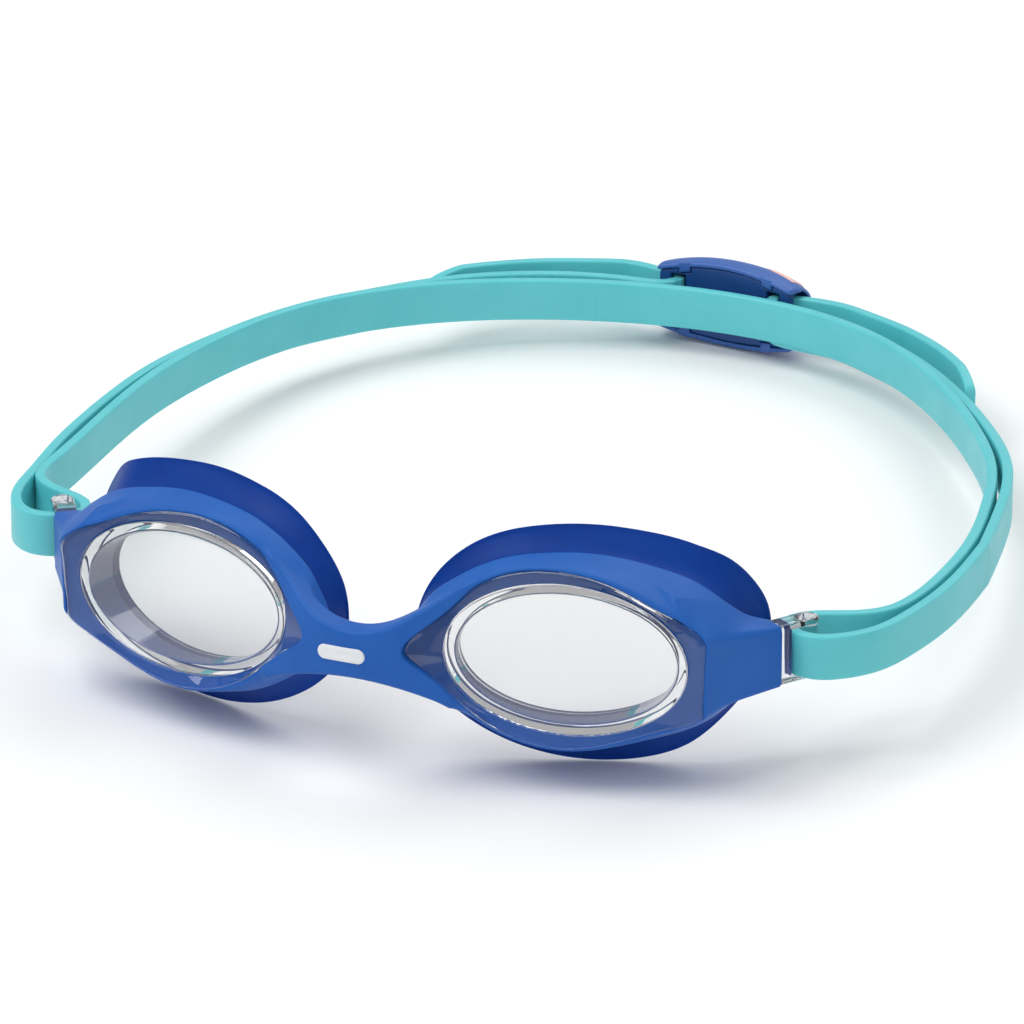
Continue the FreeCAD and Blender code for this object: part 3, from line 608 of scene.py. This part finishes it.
# ---- Seals --------------------------------------------------------------------------------------
def seal_rings():
    """Closed rings of one seal in the window's axes: a flared skirt with a rounded lip."""
    angle = np.linspace(-math.pi, math.pi, 240, endpoint=False)
    root, lip, bore = radius(RIM_R, angle) - 1.0, radius(SEAL_R, angle), oval_radius(angle) - BOND
    profile = [(bore + 0 * root, FRAME_D + 0 * root), (root, FRAME_D + 0 * root)]
    for share in (0.12, 0.25, 0.4, 0.55, 0.7, 0.85, 0.95):
        flare = (lip - 0.15 - root) * share ** 1.7
        profile.append((root + flare, FRAME_D + (SEAL_D - 0.5 - FRAME_D) * share))
    for tilt in (0, 35, 70, 110, 150, 190):
        swing = math.radians(tilt)
        out, back = SEAL_LIP_R * math.cos(swing), SEAL_LIP_R * math.sin(swing)
        profile.append((lip - SEAL_LIP_R + out, SEAL_D - SEAL_LIP_R + back + 0 * root))
    foot = np.full_like(root, CUP_DEPTH - 0.4)
    for share in (0.15, 0.3, 0.45, 0.6, 0.75, 0.9, 1.0):
        thick = 1.2 + (lip - bore - 1.2) * share ** 0.8
        profile.append((lip - thick, SEAL_D - 0.4 + (foot - SEAL_D + 0.4) * share ** 1.5))
    rings = []
    for r, d in profile:
        u, v = r * np.cos(angle), r * np.sin(angle)
        reach = np.clip((d - FRAME_D) / (SEAL_D - FRAME_D), 0, 1)
        wrap = SEAL_WRAP * ease(u, 18, 31) - SEAL_DIP * ease(v, 4, 15) * (1 - ease(u, -10, 5))
        rings.append(np.stack([u, d + RIM_SLOPE * u + wrap * reach, v], 1))
    return np.array(rings)


def make_seals():
    """Both seals."""
    rings = seal_rings()
    points = window_to_wear(rings.reshape(-1, 3))
    left = (points, ring_quads(len(rings), rings.shape[1], closed_tube=True)[:, ::-1])
    for name, mesh in (("seal_left", left), ("seal_right", mirrored(*left))):
        seal = piece(name + "_skirt", *mesh, SEAL_BLUE, "seal_blue", sharp=60)
        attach(seal, "goggles")
        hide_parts(name)


# ---- Strap --------------------------------------------------------------------------------------
def band_section():
    """The strap's section: offsets across its thickness and up its width, with rounded edges."""
    half_t, half_w, round_r = STRAP_T / 2, STRAP_W / 2, 0.42
    across, up = [], []
    for corner_t, corner_w, start in ((1, 1, 0), (-1, 1, 90), (-1, -1, 180), (1, -1, 270)):
        for step in (0, 30, 60, 90):
            swing = math.radians(start + step)
            across.append(corner_t * (half_t - round_r) + round_r * math.cos(swing))
            up.append(corner_w * (half_w - round_r) + round_r * math.sin(swing))
        if corner_t == corner_w:
            continue
        across += [corner_t * half_t] * 2
        up += [corner_w * half_w * share for share in (0.33, -0.33)]
    return np.array(across), np.array(up)


def ribbed(along, span):
    """Depth of the moulded rib gaps along a band between two distances."""
    start, end = span
    wave = np.cos(2 * math.pi * along / RIB_PITCH)
    within = ease(along, start, start + 1) * (1 - ease(along, end - 1, end))
    return RIB_DEPTH * ease(wave, -0.25, 0.25) * within


def band_rings(route, ribs=None, ribs_on=1, taper=0.0, sag=((0, 0), (1, 0))):
    """Rings of a band of strap along a plan route, ribbed on one face, with its sag along the way."""
    middle, along = Spline(route).evenly(0.35)
    way = np.gradient(middle, axis=0)
    way /= np.linalg.norm(way, axis=1)[:, None]
    normal = np.stack([-way[:, 1], way[:, 0]], 1)
    across, up = band_section()
    gaps = ribbed(along, ribs) if ribs else np.zeros_like(along)
    lines = sum(LINE_H * np.exp(-((middle[:, 0] - x) / LINE_W) ** 2) for x in LINES_X)
    drop = np.mean([np.interp(along + shift, *zip(*sag)) for shift in (-6, -3, 0, 3, 6)], 0)
    rings = []
    for i, here in enumerate(middle):
        shrink = 1.0
        if taper:
            shrink = 0.34 + 0.66 * math.sqrt(max(0.0, min(1.0, (along[-1] - along[i]) / taper)))
        on_face = np.sign(across) == ribs_on
        inside = np.abs(up) < STRAP_W / 2 - 0.5
        swell = lines[i] * np.sign(across) if abs(way[i, 0]) > 0.3 else 0.0
        offset = across + swell - ribs_on * gaps[i] * on_face * inside
        spot = here[None] + normal[i][None] * offset[:, None]
        rings.append(np.column_stack([spot, STRAP_Z - drop[i] + up * shrink]))
    return rings


def make_band():
    """The strap from one leg's seam through both folds and round the head to the other seam."""
    left = LEFT_LEG_ROUTE[:LEG_SEAM + 1][::-1]
    right = RIGHT_LEG_ROUTE[:LEG_SEAM + 1]
    other_fold = [(-x, y) for x, y in FOLD_ROUTE[::-1]]
    route = left + FOLD_ROUTE + INNER_ROUTE + other_fold + right
    points, faces = capped(band_rings(route))
    band = piece("strap_band", points, faces, TEAL, "strap_teal", sharp=60)
    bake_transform(band)
    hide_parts("strap_inner_band", "strap_fold_left", "strap_fold_right")


def make_legs():
    """The legs' clip ends, which reach into the clip's slots."""
    for name, route, sign, sag in (("strap_leg_left", LEFT_LEG_ROUTE, 1, LEFT_SAG),
                                   ("strap_leg_right", RIGHT_LEG_ROUTE, -1, RIGHT_SAG)):
        slot = clip_to_wear([(sign * (SLOT_A + 0.6), -0.2, 0), (sign * SLOT_A, 1.6, 0)])[:, :2].tolist()
        rings = band_rings(route[LEG_SEAM:] + slot, ribs=(3, 118), ribs_on=sign, sag=sag)
        points, faces = capped(rings)
        leg = piece(name + "_end", points, faces, TEAL, "strap_teal", sharp=60)
        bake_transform(leg)
        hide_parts(name)


def make_tails():
    """The free tails, which leave the clip's ends."""
    for name, route, sign in (("strap_tail_left", LEFT_TAIL_ROUTE, 1),
                              ("strap_tail_right", RIGHT_TAIL_ROUTE, -1)):
        inside = clip_to_wear([(sign * (CLIP_HALF - 1.5), TURN_N, 0)])[:, :2].tolist()
        rings = band_rings(inside + route, taper=7.0, sag=[(0, CLIP_DROP), (40, 0)])
        points, faces = capped(rings)
        tail = piece(name + "_end", points, faces, TEAL, "strap_teal", sharp=60)
        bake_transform(tail)
        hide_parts(name)


def make_turns():
    """The strap's turns round the clip's end bars."""
    for name, sign in (("strap_turn_left", 1), ("strap_turn_right", -1)):
        plan = [(SLOT_A, 0.3), (SLOT_A, 1.5), (SLOT_A + 0.4, 2.6), (SLOT_A + TURN_R, TURN_N),
                (CLIP_HALF - 0.6, TURN_N)]
        route = clip_to_wear([(sign * a, n, 0) for a, n in plan])[:, :2].tolist()
        points, faces = capped(band_rings(route, sag=[(0, CLIP_DROP), (1, CLIP_DROP)]))
        loop = piece(name + "_loop", points, faces, TEAL, "strap_teal", sharp=60)
        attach(loop, "clip")
        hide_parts(name)


# ---- Clip ---------------------------------------------------------------------------------------
CLIP_CENTRE_N = -math.sqrt(CLIP_R ** 2 - CLIP_HALF ** 2)
# The snap tabs' place along the clip, half width, reach inward and thickness.
TAB_RUN, TAB_HALF, TAB_REACH, TAB_T = 8.6, 1.1, 0.9, 0.7
INLAY_SUNK = 0.5        # the inlay reaches this far into the cover
INSERT_FIT, INSERT_BACK = 0.1, 0.25    # the insert's gap to the cover, and how far it is set back
NOTCH_HALF = 1.25       # half width of the insert's notches for them


def clip_arc(a, n):
    """Distance along the clip's arc, and distance outward from its inner face."""
    angle = np.arctan2(a, n - CLIP_CENTRE_N)
    return angle * CLIP_R, np.hypot(a, n - CLIP_CENTRE_N) - CLIP_R


def clip_half_height(run):
    """Half of the clip's height, which falls away towards its ends."""
    return CLIP_H / 2 - (CLIP_H - CLIP_END_H) / 2 * (run / CLIP_HALF) ** 2


def clip_depth(run, z):
    """Depth of the domed cover."""
    dome = (CLIP_DEPTH - CLIP_RIM) * np.abs(np.clip(z / clip_half_height(run), -1.1, 1.1)) ** 4
    return CLIP_DEPTH - dome - 1.2 * (run / CLIP_HALF) ** 4


def cover_field(a, n, z):
    """The clip's outer cover with its four snap tabs, open at both ends."""
    run, out = clip_arc(a, n)
    half = clip_half_height(run)
    depth = clip_depth(run, z)
    block = both(both(np.abs(z) - half, np.abs(run) - CLIP_HALF - 0.6, 1.0),
                 np.maximum(-out, (out - depth) * 0.7), 0.9)
    room = np.maximum(np.abs(z) - half + CLIP_SKIN, (out - depth + CLIP_SKIN) * 0.7)
    low = half - CLIP_SKIN - TAB_REACH
    tabs = np.maximum(np.abs(np.abs(run) - TAB_RUN) - TAB_HALF, slab_field(np.abs(z), low, half))
    tabs = both(tabs, slab_field(out, 0.0, TAB_T), 0.2)
    return np.minimum(both(block, -room, 0.3), tabs)


def insert_field(a, n, z):
    """The insert: a curved plate with two strap slots and rounded end bars."""
    run, out = clip_arc(a, n)
    half = clip_half_height(run) - CLIP_SKIN - INSERT_FIT
    plate = both(np.abs(z) - half, np.abs(run) - CLIP_HALF, 0.6)
    plate = both(plate, slab_field(out, INSERT_BACK, INSERT_T), 0.4)
    slot = both(np.abs(np.abs(a) - SLOT_A) - SLOT_W / 2, np.abs(z) - SLOT_H / 2, 0.5)
    edge = slab_field(np.abs(z), half - 1.0, half + 1)
    tabs = np.maximum(np.abs(np.abs(run) - TAB_RUN) - NOTCH_HALF, edge)
    tabs = np.maximum(tabs, out - 0.85)
    return both(both(plate, -slot, 0.4), -tabs, 0.15)


def inlay_field(a, n, z):
    """The coral inlay set on the cover's outer face: a stripe on the slant."""
    run, out = clip_arc(a, n)
    stripe = both(np.abs(z - INLAY_SLANT * run) - INLAY_H / 2, np.abs(run) - INLAY_L / 2, 1.5)
    stripe = both(stripe, np.abs(z) - clip_half_height(run) + 0.3, 0.3)
    return both(stripe, slab_field(out - clip_depth(run, z), -INLAY_SUNK, INLAY_T) * 0.7, 0.25)


def make_clip():
    """Cover, insert and inlay."""
    reach = CLIP_HALF + 3.5
    for name, node, field, material, slot in (
            ("clip_cover_shell", "clip_cover", cover_field, CLIP_BLUE, "clip_blue"),
            ("clip_insert_plate", "clip_insert", insert_field, CLIP_NAVY, "clip_navy"),
            ("clip_inlay_oval", "clip_inlay", inlay_field, CORAL, "clip_coral")):
        points, quads = skin(field, (-reach, -2.5, -CLIP_H / 2), (reach, CLIP_DEPTH + 1.0, CLIP_H / 2),
                             1.2 * FINE_STEP)
        made = piece(name, clip_to_wear(points), quads, material, slot)
        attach(made, "clip")
        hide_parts(node)


# ---- Studio -------------------------------------------------------------------------------------
AZIMUTH, ELEVATION, DISTANCE = 22.753, 21.72, 1442.0
AIM_RIGHT, AIM_UP = 23.70, 19.74    # the picture's middle, from the point midway between the windows
LENS_MM = 303.46


def make_camera():
    """The camera, at the left front and above."""
    a, e = math.radians(AZIMUTH), math.radians(ELEVATION)
    back = np.array((math.sin(a) * math.cos(e), -math.cos(a) * math.cos(e), math.sin(e)))
    right = np.array((math.cos(a), math.sin(a), 0.0))
    up = np.cross(back, right)
    place = to_row(AIM_RIGHT * right + AIM_UP * up + DISTANCE * back)
    axes = REST_TURN @ np.column_stack([right, up, back])
    camera = bpy.data.objects.new("camera", bpy.data.cameras.new("camera"))
    camera.data.lens = LENS_MM
    camera.data.clip_end = 20.0
    camera.matrix_world = Matrix.Translation(Vector(place)) @ Matrix(axes.tolist()).to_4x4()
    bpy.context.scene.collection.objects.link(camera)
    bpy.context.scene.camera = camera


def make_lamp(name, place, size, power):
    """A square soft box that faces the goggles."""
    lamp = bpy.data.lights.new(name, "AREA")
    lamp.size, lamp.energy = size, power
    made = bpy.data.objects.new(name, lamp)
    made.location = place
    made.rotation_euler = (Vector((0, 0, 0.02)) - Vector(place)).to_track_quat("-Z", "Y").to_euler()
    bpy.context.scene.collection.objects.link(made)


def make_studio():
    """Pale floor, white surroundings and soft boxes."""
    material = bpy.data.materials.new("pale_floor")
    material.use_nodes = True
    tree = material.node_tree
    body = tree.nodes["Principled BSDF"]
    body.inputs["Roughness"].default_value = 0.9
    body.inputs["Specular IOR Level"].default_value = 0.1
    mix = tree.nodes.new("ShaderNodeMix")
    mix.data_type = "RGBA"
    mix.inputs["A"].default_value = (0.93, 0.93, 0.93, 1)
    mix.inputs["B"].default_value = (0.95, 0.95, 0.95, 1)
    tree.links.new(grain(tree, 2.0), mix.inputs["Factor"])
    tree.links.new(mix.outputs["Result"], body.inputs["Base Color"])
    bpy.ops.mesh.primitive_circle_add(vertices=96, radius=6.0, fill_type="NGON", location=(0, 0, -0.0002))
    floor = bpy.context.object
    floor.name = "floor"
    floor.data.materials.append(material)
    world = bpy.data.worlds.new("studio")
    bpy.context.scene.world = world
    world.use_nodes = True
    world.node_tree.nodes["Background"].inputs["Color"].default_value = (1.0, 1.0, 1.0, 1)
    world.node_tree.nodes["Background"].inputs["Strength"].default_value = 0.45
    make_lamp("key", (-0.5, -0.4, 1.2), 1.0, 11.0)
    make_lamp("fill", (0.9, -0.9, 0.7), 0.9, 2.5)
    make_lamp("back", (0.2, 0.9, 1.1), 1.0, 6.0)
    bpy.context.scene.view_settings.view_transform = "Standard"


make_lenses()
make_frame()
make_mark()
make_seals()
make_band()
make_legs()
make_tails()
make_turns()
make_clip()
make_camera()
make_studio()
